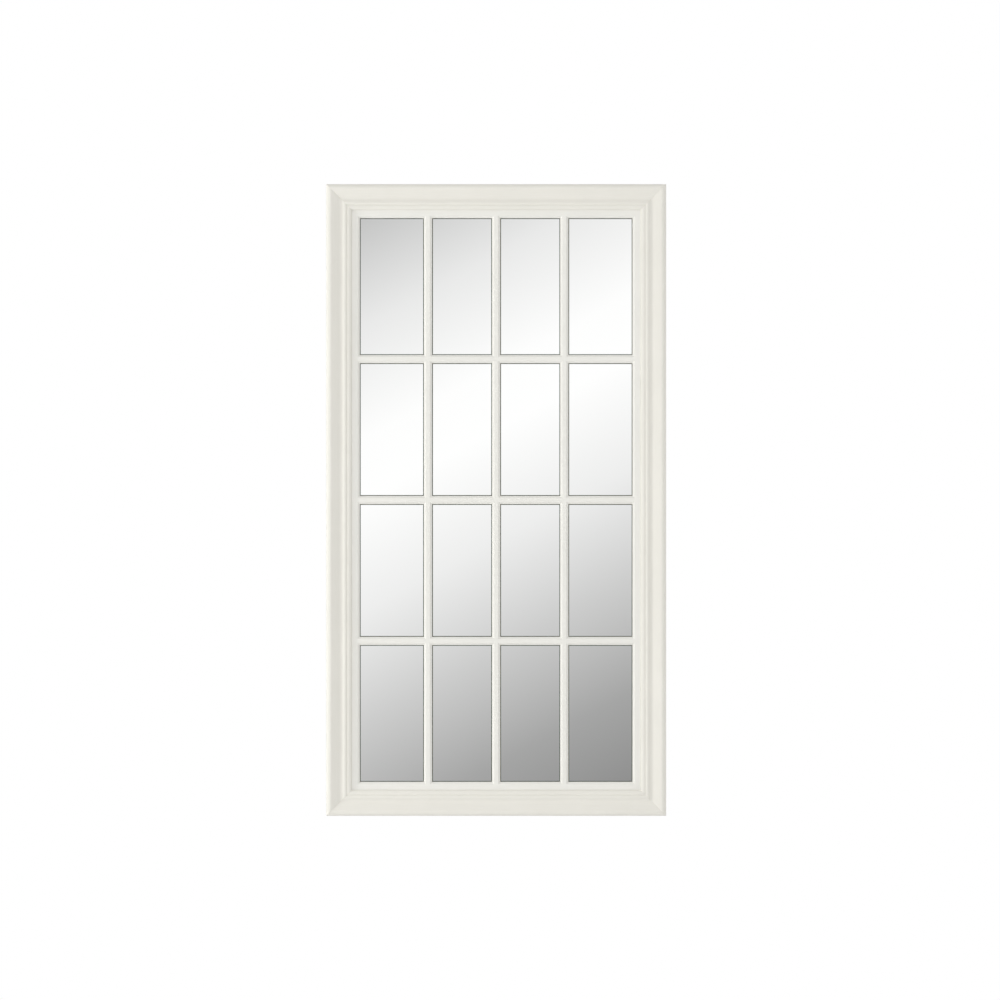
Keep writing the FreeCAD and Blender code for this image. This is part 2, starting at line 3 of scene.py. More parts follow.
import bmesh
import bpy
import numpy as np
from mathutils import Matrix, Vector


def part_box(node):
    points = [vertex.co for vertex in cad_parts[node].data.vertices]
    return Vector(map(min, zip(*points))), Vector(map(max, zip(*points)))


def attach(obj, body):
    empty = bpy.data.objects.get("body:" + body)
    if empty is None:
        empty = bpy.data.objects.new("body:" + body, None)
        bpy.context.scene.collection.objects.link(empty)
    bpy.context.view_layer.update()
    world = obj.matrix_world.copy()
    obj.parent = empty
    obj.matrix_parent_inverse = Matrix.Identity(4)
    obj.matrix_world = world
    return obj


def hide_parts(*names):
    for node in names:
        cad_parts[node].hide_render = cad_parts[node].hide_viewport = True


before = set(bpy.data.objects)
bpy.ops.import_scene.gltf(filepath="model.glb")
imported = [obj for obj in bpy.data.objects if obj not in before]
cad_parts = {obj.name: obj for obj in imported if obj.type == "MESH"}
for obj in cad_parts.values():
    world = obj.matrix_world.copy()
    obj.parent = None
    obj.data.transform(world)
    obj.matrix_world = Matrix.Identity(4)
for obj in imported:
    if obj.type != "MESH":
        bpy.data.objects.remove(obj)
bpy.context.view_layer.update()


# Stiles and rails: softwood moulding run through a spindle moulder, mitred at 45 degrees and painted.
# The section is a rounded outer edge, a sloping band, a scoop, a bead and a quarter round to the lattice.
# Face and edges carry brushed satin paint, while the back and the rebate are left as bare wood.
MM = 0.001
FRAME_BACK = -6.0 * MM
FRAME_DEPTH = 28.0 * MM
EDGE_ROUND = 9.0 * MM
BAND_SLOPE = 22.0
SCOOP_RADIUS = 10.0 * MM
BEAD_RADIUS = 7.5 * MM
BEAD_SLOPE = 30.0
OVOLO_RADIUS = 8.2 * MM
OVOLO_RISE = 25.0
OVOLO_FALL = 60.0
LIP_HEIGHT = 18.2 * MM
BOARD_FRONT = 7.0 * MM
REBATE_WIDTH = 15.0 * MM
MITRE_GAP = 0.06 * MM
PAINT_EASE = 0.18 * MM
ACROSS = np.array((1.0, 0.0, 0.0))
UP = np.array((0.0, 0.0, 1.0))
FRONT = np.array((0.0, -1.0, 0.0))

rail_low, rail_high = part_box("top_rail")
HALF_WIDTH = rail_high.x
HALF_HEIGHT = rail_high.z
MOULDING_WIDTH = rail_high.z - rail_low.z


def arc(centre, radius, start, end, count):
    """Points on a circle: centre + radius * (cos, sin) of angles spread evenly from start to end degrees."""
    angle = np.radians(np.linspace(start, end, count))
    return np.array(centre) + radius * np.stack((np.cos(angle), np.sin(angle)), axis=1)


# Corners that turn by more degrees than this are eased
EASED_TURN = 14.0
EASE_POINTS = 5
# A support point lies this many eases away from its corner
EASE_SUPPORT = 2.0
# Points nearer to each other than this are one
SAME_PLACE = 1e-7


def eased(outline, ease):
    """A closed outline with each corner P softened to P + ease * ((1-t)^2 * back + t^2 * on).

    A support point on each side keeps the flats flat when the surface is shaded smooth.
    """
    outline = outline[np.linalg.norm(outline - np.roll(outline, 1, axis=0), axis=1) > SAME_PLACE]
    back = np.roll(outline, 1, axis=0) - outline
    on = np.roll(outline, -1, axis=0) - outline
    back = back / np.linalg.norm(back, axis=1, keepdims=True)
    on = on / np.linalg.norm(on, axis=1, keepdims=True)
    sharp = np.sum(-back * on, axis=1) < math.cos(math.radians(EASED_TURN))
    share = np.linspace(0.0, 1.0, EASE_POINTS)
    back_weight = ease * np.concatenate(((EASE_SUPPORT,), (1.0 - share) ** 2, (0.0,)))
    on_weight = ease * np.concatenate(((0.0,), share ** 2, (EASE_SUPPORT,)))
    bend = back[:, None] * back_weight[:, None] + on[:, None] * on_weight[:, None]
    points = outline[:, None] + bend * sharp[:, None, None]
    keep = np.repeat(sharp[:, None], points.shape[1], axis=1)
    keep[:, 0] = True
    return points[keep]


def carried(outline, low, high, axes, origin=(0.0, 0.0, 0.0)):
    """A closed outline (first, second) carried along a line, each point from its own low to its own high end.

    Place = origin + first * axes[0] + second * axes[1] + along * axes[2]; rows are the two ends.
    """
    along = np.stack((low, high))
    section = outline[:, :1] * axes[0] + outline[:, 1:] * axes[1]
    return np.array(origin) + section[None] + along[:, :, None] * axes[2]


def tube_faces(rows, columns, first=0):
    """Quads of a grid of rows x columns points that closes on itself along its columns."""
    row = np.arange(rows - 1)[:, None] * columns
    column = np.arange(columns)[None]
    beside = (column + 1) % columns
    quads = np.stack((row + column, row + beside, row + columns + beside, row + columns + column), axis=-1)
    return (quads.reshape(-1, 4) + first).tolist()


def capped_faces(rows, columns, first=0):
    """The same quads, with an end face on the first and the last row."""
    start = list(range(first + columns - 1, first - 1, -1))
    end = list(range(first + (rows - 1) * columns, first + rows * columns))
    return tube_faces(rows, columns, first) + [start, end]


# Edges that turn by more degrees than this stay crisp where a piece is shaded smooth
CRISP_TURN = 30.0


def new_piece(name, points, faces, materials, body, replaced, face_materials=None):
    """A smooth closed surface with crisp edges, riding on a body in place of its CAD nodes."""
    mesh = bpy.data.meshes.new(name)
    mesh.from_pydata(np.reshape(points, (-1, 3)).tolist(), [], faces)
    for material in materials:
        mesh.materials.append(material)
    if face_materials is not None:
        mesh.polygons.foreach_set("material_index", face_materials)
    shell = bmesh.new()
    shell.from_mesh(mesh)
    bmesh.ops.remove_doubles(shell, verts=shell.verts, dist=SAME_PLACE)
    bmesh.ops.recalc_face_normals(shell, faces=shell.faces)
    shell.to_mesh(mesh)
    shell.free()
    mesh.polygons.foreach_set("use_smooth", [True] * len(mesh.polygons))
    mesh.set_sharp_from_angle(angle=math.radians(CRISP_TURN))
    piece = bpy.data.objects.new(name, mesh)
    bpy.context.scene.collection.objects.link(piece)
    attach(piece, body)
    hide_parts(*replaced)


EVENLY = (1.0, 1.0, 1.0)
WHITE = (1.0, 1.0, 1.0)


def new_material(name, **sockets):
    """A material with its principled shader; sockets that are the same all over are set on the shader."""
    material = bpy.data.materials.new(name)
    material.use_nodes = True
    tree = material.node_tree
    shader = tree.nodes["Principled BSDF"]
    for socket, value in sockets.items():
        shader.inputs[socket.replace("_", " ")].default_value = value
    return material, tree, shader


def link_finish(tree, shader, colour, roughness, normal):
    """A finish's colour, roughness and normal, linked to its shader."""
    tree.links.new(colour, shader.inputs["Base Color"])
    tree.links.new(roughness, shader.inputs["Roughness"])
    tree.links.new(normal, shader.inputs["Normal"])


def object_noise(tree, scale, detail, roughness=0.5, stretch=EVENLY):
    """Noise on Object coordinates, stretched by a scale for each axis."""
    place = tree.nodes.new("ShaderNodeTexCoord")
    mapping = tree.nodes.new("ShaderNodeMapping")
    mapping.inputs["Scale"].default_value = stretch
    noise = tree.nodes.new("ShaderNodeTexNoise")
    noise.inputs["Scale"].default_value = scale
    noise.inputs["Detail"].default_value = detail
    noise.inputs["Roughness"].default_value = roughness
    tree.links.new(place.outputs["Object"], mapping.inputs["Vector"])
    tree.links.new(mapping.outputs["Vector"], noise.inputs["Vector"])
    return noise.outputs["Fac"]


def ramp(tree, value, *stops):
    """A colour ramp over (position, colour or grey) stops."""
    node = tree.nodes.new("ShaderNodeValToRGB")
    elements = node.color_ramp.elements
    elements[0].position = stops[0][0]
    elements[1].position = stops[-1][0]
    made = [elements.new(position) for position, colour in stops[1:-1]]
    for element, (position, colour) in zip([elements[0], *made, elements[-1]], stops):
        element.color = (colour, colour, colour, 1.0) if isinstance(colour, float) else (*colour, 1.0)
    tree.links.new(value, node.inputs["Fac"])
    return node.outputs["Color"]


def bump(tree, heights, distance, strength, under=None):
    """A bump normal from a height, on top of another bump if there is one."""
    node = tree.nodes.new("ShaderNodeBump")
    node.inputs["Distance"].default_value = distance
    node.inputs["Strength"].default_value = strength
    tree.links.new(heights, node.inputs["Height"])
    if under is not None:
        tree.links.new(under, node.inputs["Normal"])
    return node.outputs["Normal"]


def feed(tree, socket, value):
    """A socket takes a link from another node, or else a plain number or colour."""
    if isinstance(value, bpy.types.NodeSocket):
        tree.links.new(value, socket)
    else:
        socket.default_value = value


def mixed(tree, share, first, second, blend="MIX", kind="RGBA"):
    """Two colours or numbers: first * (1 - share) + second * share, or first * second for MULTIPLY."""
    node = tree.nodes.new("ShaderNodeMix")
    node.data_type = kind
    node.blend_type = blend
    feed(tree, node.inputs["Factor"], share)
    feed(tree, node.inputs["A"], first)
    feed(tree, node.inputs["B"], second)
    return node.outputs["Result"]


def calculated(tree, operation, *values):
    """A math node on links and plain numbers."""
    node = tree.nodes.new("ShaderNodeMath")
    node.operation = operation
    for socket, value in zip(node.inputs, values):
        feed(tree, socket, value)
    return node.outputs[0]


def share_between(tree, value, start, end, curve="LINEAR"):
    """How far a value has come from start to end, from 0 to 1 and held there."""
    node = tree.nodes.new("ShaderNodeMapRange")
    node.interpolation_type = curve
    node.inputs["From Min"].default_value = start
    node.inputs["From Max"].default_value = end
    tree.links.new(value, node.inputs["Value"])
    return node.outputs["Result"]


def separated(tree, coordinates):
    """The named texture coordinates, parted into X, Y and Z."""
    place = tree.nodes.new("ShaderNodeTexCoord")
    parts = tree.nodes.new("ShaderNodeSeparateXYZ")
    tree.links.new(place.outputs[coordinates], parts.inputs["Vector"])
    return parts.outputs


FRAME_WHITES = (0.808, 0.791, 0.727), (0.830, 0.812, 0.748)
FURROW_SHADE = (0.975, 0.972, 0.965)


def satin_paint(name, brushed, thin, full):
    """Warm white satin paint with brush lines along one axis, faint clouding and a soft orange peel.

    The brush leaves ridges and furrows along its way, and the paint lies a shade thinner in the furrows.
    """
    material, tree, shader = new_material(name, Specular_IOR_Level=0.5)
    clouds = object_noise(tree, scale=9.0, detail=3.0)
    lines = object_noise(tree, scale=1100.0, detail=3.0, roughness=0.6, stretch=brushed)
    peel = object_noise(tree, scale=420.0, detail=2.0)
    coat = ramp(tree, clouds, (0.3, thin), (0.7, full))
    furrows = ramp(tree, lines, (0.3, FURROW_SHADE), (0.6, WHITE))
    colour = mixed(tree, 1.0, coat, furrows, "MULTIPLY")
    sheen = ramp(tree, lines, (0.3, 0.36), (0.7, 0.47))
    soft = bump(tree, peel, distance=0.06 * MM, strength=0.35)
    strokes = bump(tree, lines, distance=0.12 * MM, strength=0.5, under=soft)
    link_finish(tree, shader, colour, sheen, strokes)
    return material


GROWTH_RINGS = 15.0
GROWTH_TONES = (
    (0.00, (0.70, 0.54, 0.35)),
    (0.55, (0.69, 0.52, 0.325)),
    (0.88, (0.58, 0.405, 0.225)),
    (1.00, (0.68, 0.51, 0.32)),
)
FIBRE_TONES = (0.3, (0.90, 0.88, 0.85)), (0.7, (1.05, 1.04, 1.02))
# Paint lapped round the outer edge: its colour, how ragged it ends, and the span over which it thins out
LAP_PAINT = (0.77, 0.745, 0.69, 1.0)
LAP_RAGGED = 5.0 * MM
LAP_EDGE = -1.4 * MM, 0.4 * MM


def bare_wood(name, grain):
    """Planed pale softwood with paint lapped over its outer edge.

    The growth rings are the contour lines of a noise drawn out along the grain: fraction(noise * rings).
    The paint ends where the way in from the edge passes a ragged noise.
    """
    material, tree, shader = new_material(name, Specular_IOR_Level=0.3)
    swell = object_noise(tree, scale=28.0, detail=1.5, stretch=grain)
    rings = calculated(tree, "FRACT", calculated(tree, "MULTIPLY", swell, GROWTH_RINGS))
    fibres = object_noise(tree, scale=1500.0, detail=3.0, roughness=0.7, stretch=grain)
    ringed = ramp(tree, rings, *GROWTH_TONES)
    planed = mixed(tree, 1.0, ringed, ramp(tree, fibres, *FIBRE_TONES), "MULTIPLY")
    place = separated(tree, "Object")
    from_side = calculated(tree, "SUBTRACT", HALF_WIDTH, calculated(tree, "ABSOLUTE", place["X"]))
    from_end = calculated(tree, "SUBTRACT", HALF_HEIGHT, calculated(tree, "ABSOLUTE", place["Z"]))
    from_edge = calculated(tree, "MINIMUM", from_side, from_end)
    runs = object_noise(tree, scale=110.0, detail=4.0)
    past_paint = calculated(tree, "MULTIPLY_ADD", runs, -LAP_RAGGED, from_edge)
    colour = mixed(tree, share_between(tree, past_paint, *LAP_EDGE), LAP_PAINT, planed)
    sheen = ramp(tree, fibres, (0.3, 0.58), (0.7, 0.74))
    link_finish(tree, shader, colour, sheen, bump(tree, fibres, distance=0.1 * MM, strength=0.5))
    return material


LONG_ACROSS = (0.02, 1.0, 1.0)
LONG_UP = (1.0, 1.0, 0.02)
paint = {
    "rail": satin_paint("frame_paint_across", LONG_ACROSS, *FRAME_WHITES),
    "stile": satin_paint("frame_paint_up", LONG_UP, *FRAME_WHITES),
}
wood = {
    "rail": bare_wood("bare_wood_across", LONG_ACROSS),
    "stile": bare_wood("bare_wood_up", LONG_UP),
}

EDGE_POINTS = 23
HOLLOW_POINTS = 15
OVOLO_POINTS = 19


def moulding_outline():
    """The frame's section as (in from the outer edge, up from the back): flats and tangent arcs in turn."""
    band = math.radians(BAND_SLOPE)
    flank = math.radians(BEAD_SLOPE)
    rise = math.radians(OVOLO_RISE)
    fall = math.radians(OVOLO_FALL)
    ovolo_start = MOULDING_WIDTH - OVOLO_RADIUS * (math.sin(rise) + math.sin(fall))
    bead_start = ovolo_start - 2.0 * BEAD_RADIUS * math.sin(flank)
    scoop_start = bead_start - SCOOP_RADIUS * (math.sin(band) + math.sin(flank))
    round_end = EDGE_ROUND * (1.0 + math.sin(band))
    round_level = FRAME_DEPTH - EDGE_ROUND * (1.0 - math.cos(band))
    scoop_level = round_level - (scoop_start - round_end) * math.tan(band)
    bead_level = scoop_level + SCOOP_RADIUS * (math.cos(band) - math.cos(flank))
    scoop_centre = (scoop_start + SCOOP_RADIUS * math.sin(band), scoop_level + SCOOP_RADIUS * math.cos(band))
    bead_centre = (bead_start + BEAD_RADIUS * math.sin(flank), bead_level - BEAD_RADIUS * math.cos(flank))
    ovolo_centre = (ovolo_start + OVOLO_RADIUS * math.sin(rise), LIP_HEIGHT - OVOLO_RADIUS * math.cos(fall))
    rebate = MOULDING_WIDTH - REBATE_WIDTH
    return np.concatenate((
        [(0.0, 0.0)],
        arc((EDGE_ROUND, FRAME_DEPTH - EDGE_ROUND), EDGE_ROUND, 180.0, 90.0 - BAND_SLOPE, EDGE_POINTS),
        arc(scoop_centre, SCOOP_RADIUS, -90.0 - BAND_SLOPE, -90.0 + BEAD_SLOPE, HOLLOW_POINTS),
        arc(bead_centre, BEAD_RADIUS, 90.0 + BEAD_SLOPE, 90.0 - BEAD_SLOPE, HOLLOW_POINTS),
        arc(ovolo_centre, OVOLO_RADIUS, 90.0 + OVOLO_RISE, 90.0 - OVOLO_FALL, OVOLO_POINTS),
        [(MOULDING_WIDTH, BOARD_FRONT), (rebate, BOARD_FRONT), (rebate, 0.0)],
    ))


# Each side of the frame: its kind, the way out from the middle, the way along, and half its size both ways
SIDES = {
    "top": ("rail", UP, ACROSS, HALF_HEIGHT, HALF_WIDTH),
    "bottom": ("rail", -UP, ACROSS, HALF_HEIGHT, HALF_WIDTH),
    "left": ("stile", -ACROSS, UP, HALF_WIDTH, HALF_HEIGHT),
    "right": ("stile", ACROSS, UP, HALF_WIDTH, HALF_HEIGHT),
}


def mitred(side, outline):
    """An outline (inset, rise) carried along one side of the frame, shortened by its inset at both mitres."""
    _, outward, along, half_out, half_along = SIDES[side]
    reach = half_along - outline[:, 0] - MITRE_GAP
    return carried(outline, -reach, reach, (-outward, FRONT, along), outward * half_out - FRONT * FRAME_BACK)


# A face's place among the moulding's two materials
PAINTED = 0
BARE = 1

section = eased(moulding_outline(), PAINT_EASE)
middle = (section + np.roll(section, -1, axis=0)) / 2.0
in_rebate = (middle[:, 1] < BOARD_FRONT + PAINT_EASE) & (middle[:, 0] > EDGE_ROUND)
at_back = middle[:, 1] < PAINT_EASE
section_finish = np.where(at_back | in_rebate, BARE, PAINTED).tolist()
for side, (kind, *_) in SIDES.items():
    new_piece(
        f"{side}_{kind}_moulding", mitred(side, section), capped_faces(2, len(section)),
        (paint[kind], wood[kind]), "mirror", (f"{side}_{kind}",),
        section_finish + [BARE, BARE],
    )


# Border strips of the lattice: flat wooden strips bevelled at the glass, mitred round the frame's inside.
# They are glued to the back board. Their colour is painted light: a lighter, cooler copy of the frame's
# white, though both wear the same paint, which softens their edges.
STRIP_WIDTH = 16.0 * MM
LATTICE_FRONT = 17.0 * MM
BEVEL_WIDTH = 4.5 * MM
BEVEL_FOOT = 13.5 * MM
LATTICE_EASE = 0.3 * MM
# Painted light: the frame's white made lighter and cooler, so the lattice reads brighter than the frame whose
# paint it shares
LATTICE_LIT_WHITES = (0.836, 0.828, 0.778), (0.858, 0.850, 0.800)

lattice_lit_paint = {
    "rail": satin_paint("lattice_lit_paint_across", LONG_ACROSS, *LATTICE_LIT_WHITES),
    "stile": satin_paint("lattice_lit_paint_up", LONG_UP, *LATTICE_LIT_WHITES),
}
sight_edge = MOULDING_WIDTH + STRIP_WIDTH
strip_outline = eased(np.array((
    (MOULDING_WIDTH, BOARD_FRONT),
    (MOULDING_WIDTH, LATTICE_FRONT),
    (sight_edge - BEVEL_WIDTH, LATTICE_FRONT),
    (sight_edge, BEVEL_FOOT),
    (sight_edge, BOARD_FRONT),
)), LATTICE_EASE)
for side, (kind, *_) in SIDES.items():
    new_piece(
        f"{side}_border_strip", mitred(side, strip_outline), capped_faces(2, len(strip_outline)),
        (lattice_lit_paint[kind],), "mirror", (f"{side}_border",),
    )


# Glazing bars: strips bevelled on both edges, half lapped where they cross and scribed to each other.
# The uprights run through in front, and the cross bars pass behind them in notches to half the thickness.
HALF_BAR = 8.5 * MM
HALF_FLAT = 4.0 * MM
LAP_LEVEL = 12.0 * MM
# Bars stand at these shares of half the opening, which makes four columns and four rows
BAR_SHARES = np.array((-0.5, 0.0, 0.5))

half_opening_width = HALF_WIDTH - sight_edge
half_opening_height = HALF_HEIGHT - sight_edge
column_lines = half_opening_width * BAR_SHARES
row_lines = half_opening_height * BAR_SHARES[::-1]
bar_outline = eased(np.array((
    (-HALF_BAR, BOARD_FRONT),
    (-HALF_BAR, BEVEL_FOOT),
    (-HALF_FLAT, LATTICE_FRONT),
    (HALF_FLAT, LATTICE_FRONT),
    (HALF_BAR, BEVEL_FOOT),
    (HALF_BAR, BOARD_FRONT),
)), LATTICE_EASE)


def lapped_bar(name, node, half_opening, crossings, reach, notched, axes, line, material):
    """The bar's outline in rows along its length, its rise clipped to the lap between a crossing's rows.

    Row = (line + across, clipped rise, along); each point ends where the strip's bevel has its rise.
    """
    across, rise = bar_outline.T
    stop = half_opening + HALF_FLAT + BEVEL_WIDTH - np.maximum(np.abs(across), HALF_FLAT)
    rows = [(-stop, rise)]
    for crossing in np.sort(crossings):
        near = crossing - reach
        far = crossing + reach
        rows += [(near, rise), (near, notched(rise)), (far, notched(rise)), (far, rise)]
    rows.append((stop, rise))
    along = np.stack([row[0] for row in rows])[..., None]
    height = np.stack([row[1] for row in rows])[..., None]
    points = (line + across)[None, :, None] * axes[0] + (height - FRAME_BACK) * FRONT + along * axes[1]
    new_piece(
        name, points, capped_faces(len(rows), len(across)), (material,), "mirror", (node,),
    )


to_flank = np.maximum(np.abs(bar_outline[:, 0]), HALF_FLAT)
to_side = np.full(len(bar_outline), HALF_BAR)
for number, line in enumerate(column_lines, start=1):
    lapped_bar(
        f"upright_glazing_bar_{number}", f"upright_bar_{number}", half_opening_height, row_lines, to_side,
        lambda rise: np.maximum(rise, LAP_LEVEL), (ACROSS, UP), line, lattice_lit_paint["stile"],
    )
for number, line in enumerate(row_lines, start=1):
    lapped_bar(
        f"cross_glazing_bar_{number}", f"cross_bar_{number}", half_opening_width, column_lines, to_flank,
        lambda rise: np.minimum(rise, LAP_LEVEL), (UP, ACROSS), line, lattice_lit_paint["rail"],
    )


# Mirror panes: sheets of float glass, silvered on the back, with a ground arris round the front.
# Each is its own sheet on foam tape, so a dark gap shows between its edge and the bars.
GLASS_EDGE = (0.10, 0.19, 0.155)
SILVER = (0.942, 0.945, 0.940)
ARRIS_ROUGHNESS = 0.24
# A normal's part along +Y from which on all is ground glass, and up to which all is silver
ARRIS_NORMAL = -0.85
FACE_NORMAL = -0.95


def silvered_glass():
    """Silver where the surface looks to the front, and green ground glass on arris and edges.

    Faint wiping marks drift in the silver's roughness.
    """
    material, tree, shader = new_material("silvered_glass")
    silver = share_between(tree, separated(tree, "Normal")["Y"], ARRIS_NORMAL, FACE_NORMAL)
    marks = object_noise(tree, scale=22.0, detail=4.0, roughness=0.6, stretch=(1.0, 1.0, 0.35))
    wiped = ramp(tree, marks, (0.35, 0.006), (0.75, 0.022))
    tree.links.new(silver, shader.inputs["Metallic"])
    tree.links.new(ramp(tree, silver, (0.0, GLASS_EDGE), (1.0, SILVER)), shader.inputs["Base Color"])
    tree.links.new(mixed(tree, silver, ARRIS_ROUGHNESS, wiped, kind="FLOAT"), shader.inputs["Roughness"])
    return material


def dress(node, material):
    """A CAD node that stays takes a finish in place of its plain one."""
    node_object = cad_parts[node]
    node_object.data.materials.clear()
    node_object.data.materials.append(material)


glass = silvered_glass()
for node in sorted(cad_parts):
    if node.startswith("pane_"):
        dress(node, glass)


# Foam tape: two strips of white closed-cell foam behind each pane, with glue on both faces.
# They bond the pane to the back board and take up what is uneven between them.
FOAM_TONES = (0.35, (0.66, 0.66, 0.64)), (0.65, (0.82, 0.82, 0.80))


def foam():
    """White foam with fine cells."""
    material, tree, shader = new_material("white_foam", Specular_IOR_Level=0.2)
    cells = object_noise(tree, scale=1800.0, detail=2.0)
    colour = ramp(tree, cells, *FOAM_TONES)
    sheen = ramp(tree, cells, (0.3, 0.8), (0.7, 0.95))
    link_finish(tree, shader, colour, sheen, bump(tree, cells, distance=0.2 * MM, strength=0.6))
    return material


dress("mirror_tape", foam())


# Back board: a sheet of hard fibreboard in the frame's rebate, smooth on its outer face.
# It carries lattice and panes, and screws along its edge draw it against the frame's shoulder.
BOARD_TONES = (0.3, (0.345, 0.220, 0.125)), (0.7, (0.395, 0.258, 0.150))
BOARD_FIBRES = (0.3, (0.86, 0.84, 0.81)), (0.7, (1.10, 1.09, 1.07))
BOARD_FLECKS = (0.28, (0.70, 0.66, 0.62)), (0.36, WHITE)


def fibreboard():
    """Brown pressed fibres: soft clouds, fine fibres both ways, sparse dark flecks and a rubbed sheen."""
    material, tree, shader = new_material("pressed_fibreboard", Specular_IOR_Level=0.35)
    clouds = object_noise(tree, scale=6.0, detail=4.0)
    upright = object_noise(tree, scale=1300.0, detail=3.0, roughness=0.7, stretch=(1.0, 1.0, 0.25))
    level = object_noise(tree, scale=1300.0, detail=3.0, roughness=0.7, stretch=(0.25, 1.0, 1.0))
    flecks = object_noise(tree, scale=520.0, detail=2.0, stretch=(1.0, 1.0, 0.5))
    colour = ramp(tree, clouds, *BOARD_TONES)
    normal = None
    for fibres in (upright, level):
        colour = mixed(tree, 1.0, colour, ramp(tree, fibres, *BOARD_FIBRES), "MULTIPLY")
        normal = bump(tree, fibres, distance=0.08 * MM, strength=0.4, under=normal)
    colour = mixed(tree, 1.0, colour, ramp(tree, flecks, *BOARD_FLECKS), "MULTIPLY")
    link_finish(tree, shader, colour, ramp(tree, clouds, (0.3, 0.52), (0.7, 0.66)), normal)
    return material


dress("back_board", fibreboard())


# Corner nails: strips of steel bent to a right angle, two driven from behind across each mitre.
# They draw the joint together, and their edges stand a hair proud of the wood.
NAIL_LEG = 9.0 * MM
NAIL_STRIP = 0.8 * MM
NAIL_DEPTH = 10.0 * MM
NAIL_PROUD = 0.15 * MM
NAIL_EASE = 0.12 * MM
NAIL_INSETS = (14.0 * MM, 27.0 * MM)
STEEL_TONES = (0.33, 0.32, 0.31), (0.50, 0.49, 0.48)
STEEL_GLOSS = 0.42, 0.28


def brushed_metal(name, tones, gloss, scale, stretch=EVENLY):
    """Metal whose colour and roughness drift over fine marks, from dark and rough to light and smooth."""
    material, tree, shader = new_material(name, Metallic=1.0)
    marks = object_noise(tree, scale, detail=4.0, roughness=0.65, stretch=stretch)
    colour = ramp(tree, marks, (0.3, tones[0]), (0.7, tones[1]))
    sheen = ramp(tree, marks, (0.3, gloss[0]), (0.7, gloss[1]))
    link_finish(tree, shader, colour, sheen, bump(tree, marks, distance=0.04 * MM, strength=0.3))
    return material


half_strip = NAIL_STRIP / 2.0
nail_outline = eased(np.array((
    (-half_strip, -half_strip),
    (NAIL_LEG, -half_strip),
    (NAIL_LEG, half_strip),
    (half_strip, half_strip),
    (half_strip, NAIL_LEG),
    (-half_strip, NAIL_LEG),
)), NAIL_EASE)
nail_ends = np.ones(len(nail_outline))
nail_points = []
nail_faces = []
for across_way in (-1.0, 1.0):
    for up_way in (-1.0, 1.0):
        for inset in NAIL_INSETS:
            corner = (across_way * (HALF_WIDTH - inset), FRAME_BACK, up_way * (HALF_HEIGHT - inset))
            nail_faces += capped_faces(2, len(nail_outline), len(nail_points) * 2 * len(nail_outline))
            nail_points.append(carried(
                nail_outline, nail_ends * -NAIL_PROUD, nail_ends * NAIL_DEPTH,
                (ACROSS * across_way, UP * up_way, FRONT), corner,
            ))
nail_steel = brushed_metal("nail_steel", STEEL_TONES, STEEL_GLOSS, scale=900.0)
new_piece("mitre_nails", nail_points, nail_faces, (nail_steel,), "mirror", ("corner_nails",))


# Screws: zinc plated pan heads with a cross recess, turned and rolled from wire.
# Twelve hold the board in its rebate, and two hold each strap hanger to its stile.
SCREW_ANGLES = 64
# The head's rings as shares of its radius, close in the recess and wider on the dome
RECESS_RINGS = np.linspace(0.0, 0.72, 19)
DOME_RINGS = np.linspace(0.76, 0.97, 6)
DOME_FALL = 0.75
# The head's side as shares of its radius and of its rise
SIDE_RADII = np.array((1.0, 1.0, 0.97))
SIDE_HEIGHTS = np.array((0.42, 0.06, 0.0))
# The cross recess in shares of the head's radius, and its depth in shares of the head's rise
RECESS_REACH = 0.62
RECESS_HALF_WIDTH = 0.16
RECESS_FLANK = 0.05
RECESS_END = 0.08
RECESS_DEPTH = 0.55
RECESS_MIDDLE = 1.15
RECESS_RISE = 0.6
RECESS_FOOT = 0.3
# The point's length in shares of the shank's radius
POINT_SHARE = 2.5


def screw_points(head_radius, head_rise, shank_radius, length, turn):
    """A surface of revolution (radius, height) whose dome is pressed in by a cross.

    The dome is rise * sqrt(1 - fall * (r/R)^2); the cross sinks where either arm coordinate is small.
    """
    share = np.concatenate((RECESS_RINGS, DOME_RINGS))
    dome_height = head_rise * np.sqrt(1.0 - DOME_FALL * share ** 2)
    shank_radii = np.array((shank_radius, shank_radius, 0.0))
    shank_heights = np.array((0.0, POINT_SHARE * shank_radius - length, -length))
    radius = np.concatenate((head_radius * share, head_radius * SIDE_RADII, shank_radii))[:, None]
    height = np.concatenate((dome_height, head_rise * SIDE_HEIGHTS, shank_heights))[:, None]
    angle = np.linspace(0.0, math.tau, SCREW_ANGLES, endpoint=False)[None]
    first = radius * np.cos(angle)
    second = radius * np.sin(angle)
    arm = np.minimum(np.abs(first), np.abs(second)) / head_radius
    reach = np.hypot(first, second) / head_radius
    within_arm = np.clip((RECESS_HALF_WIDTH - arm) / RECESS_FLANK, 0.0, 1.0)
    inside = within_arm * np.clip((RECESS_REACH - reach) / RECESS_END, 0.0, 1.0)
    sunk = np.where(height > RECESS_FOOT * head_rise, inside * inside * (3.0 - 2.0 * inside), 0.0)
    pressed = sunk * RECESS_DEPTH * head_rise * (RECESS_MIDDLE - RECESS_RISE * reach / RECESS_REACH)
    across = first * math.cos(turn) - second * math.sin(turn)
    up = first * math.sin(turn) + second * math.cos(turn)
    return np.stack((across, height - pressed, up), axis=-1)


def screw_set(name, node, spots, sizes):
    """One piece of like screws, each turned to where it happened to stop."""
    turns = np.random.default_rng(len(spots)).uniform(0.0, math.tau, len(spots))
    points = []
    faces = []
    for spot, turn in zip(spots, turns):
        screw = screw_points(*sizes, turn)
        faces += tube_faces(*screw.shape[:2], len(points) * screw.shape[0] * screw.shape[1])
        points.append(screw + np.array(spot))
    new_piece(name, points, faces, (zinc,), "mirror", (node,))


